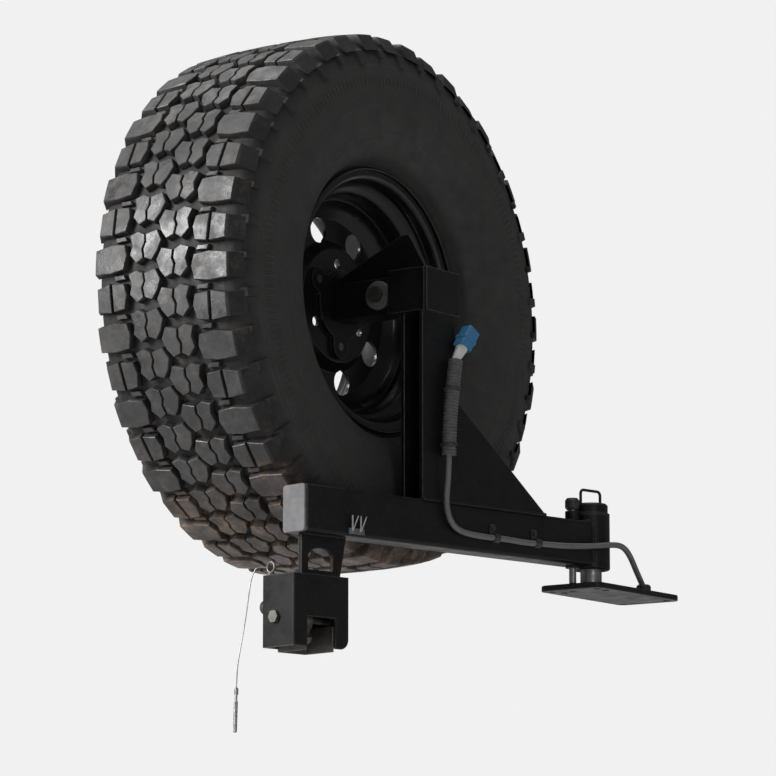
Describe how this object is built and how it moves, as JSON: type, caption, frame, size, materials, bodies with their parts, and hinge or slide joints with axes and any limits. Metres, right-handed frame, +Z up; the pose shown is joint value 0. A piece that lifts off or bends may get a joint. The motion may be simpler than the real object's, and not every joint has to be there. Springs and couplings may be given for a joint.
{
  "type": "spare tire carrier",
  "caption": "Swing-out spare tire carrier: hinged arm on a bumper plate, upright and stub mount holding an off-road wheel, with a drop-down latch.",
  "frame": {"origin": "on the pivot axis at the underside of the base plate, where the carrier meets the bumper top", "axes": "+Z up along the pivot; +Y is the side the wheel hangs on and is parallel to the wheel axis; the arm runs towards -X, leaning 10 degrees to +Y"},
  "size_m": [1.0059, 0.4955, 1.171],
  "materials": {
    "black_powder_coat": "satin powder coat, dusty",
    "worn_powder_coat": "grey, weathered",
    "machined_steel": "turned, oiled",
    "bearing_steel": "ground",
    "zinc_plate": "dull zinc plate",
    "chrome_nut": "dull chrome",
    "spring_steel": "bright",
    "stainless_wire": "bright",
    "black_plastic": "moulded, matt",
    "black_rubber": "matt",
    "tyre_rubber": "dusty tread, mud at the bottom",
    "gloss_black_wheel": "gloss black",
    "blue_plastic": "moulded",
    "white_plastic": "moulded",
    "grey_sleeve": "corrugated"
  },
  "bodies": {
    "base": {"base_plate": "black_powder_coat", "pivot_spindle": "machined_steel", "lower_bearing_cone": "bearing_steel", "lower_bearing_rollers": "bearing_steel", "upper_bearing_cone": "bearing_steel", "upper_bearing_rollers": "bearing_steel", "thrust_washer": "zinc_plate", "castle_nut": "zinc_plate", "cotter_pin": "zinc_plate", "cable_gland": "black_plastic", "conduit_tail": "black_plastic"},
    "swing_arm": {"lower_bearing_cup": "bearing_steel", "upper_bearing_cup": "bearing_steel", "hub_housing": "black_powder_coat", "hub_seal": "black_rubber", "dust_cap": "black_powder_coat", "cap_bail": "black_powder_coat", "grease_nipple": "zinc_plate", "main_arm": "black_powder_coat", "arm_end_cap": "worn_powder_coat", "plunger_guide": "black_powder_coat", "plunger_spring": "spring_steel", "upright_inner_cheek": "black_powder_coat", "upright_outer_cheek": "black_powder_coat", "upright_web": "black_powder_coat", "mount_box": "black_powder_coat", "mount_box_face": "black_powder_coat", "stub_tube": "black_powder_coat", "stub_lock_washer": "worn_powder_coat", "stub_lock_bolt": "zinc_plate", "stub_brace": "black_powder_coat", "mount_spider": "black_powder_coat", "wheel_studs": "zinc_plate", "wheel_disc": "gloss_black_wheel", "rim_barrel": "gloss_black_wheel", "tyre": "tyre_rubber", "valve_stem": "black_rubber", "valve_cap": "black_plastic", "wheel_nuts": "chrome_nut", "latch_neck": "black_powder_coat", "latch_box": "black_powder_coat", "latch_guide": "zinc_plate", "claw_pivot": "zinc_plate", "release_spring": "spring_steel", "lanyard_eye": "zinc_plate", "lanyard_cable": "stainless_wire", "lanyard_crimp": "stainless_wire", "lanyard_pin": "stainless_wire", "pin_keeper": "stainless_wire", "loom_connector": "blue_plastic", "connector_boot": "white_plastic", "loom_sleeve": "grey_sleeve", "conduit": "black_plastic", "loom_clips": "black_plastic", "zip_ties": "black_plastic"},
    "lock_plunger": {"plunger_pin": "machined_steel", "plunger_knob": "black_plastic"},
    "latch_claw": {"latch_claw": "zinc_plate"},
    "release_knob": {"release_rod": "zinc_plate", "release_knob": "black_plastic"}
  },
  "joints": [
    {"name": "swing", "type": "hinge", "parent": "base", "child": "swing_arm", "pos_m": [0, 0, 0.08], "axis": [0, 0, 1], "range_deg": [-40, 75], "deforming": ["conduit_tail"]},
    {"name": "lock_lift", "type": "slide", "parent": "swing_arm", "child": "lock_plunger", "axis": [0, 0, 1], "range_m": [0, 0.02], "stiffness_N_per_m": 400, "springref_m": -0.01, "deforming": ["plunger_spring"]},
    {"name": "claw_turn", "type": "hinge", "parent": "swing_arm", "child": "latch_claw", "pos_m": [-0.64401, 0.11965, -0.092], "axis": [-0.9848, 0.1736, 0], "range_deg": [0, 55], "stiffness_Nm_per_rad": 0.4, "springref_deg": -28.65},
    {"name": "release_pull", "type": "slide", "parent": "swing_arm", "child": "release_knob", "axis": [0.1736, 0.9848, 0], "range_m": [0, 0.012], "stiffness_N_per_m": 500, "springref_m": -0.006, "deforming": ["release_spring"]}
  ]
}
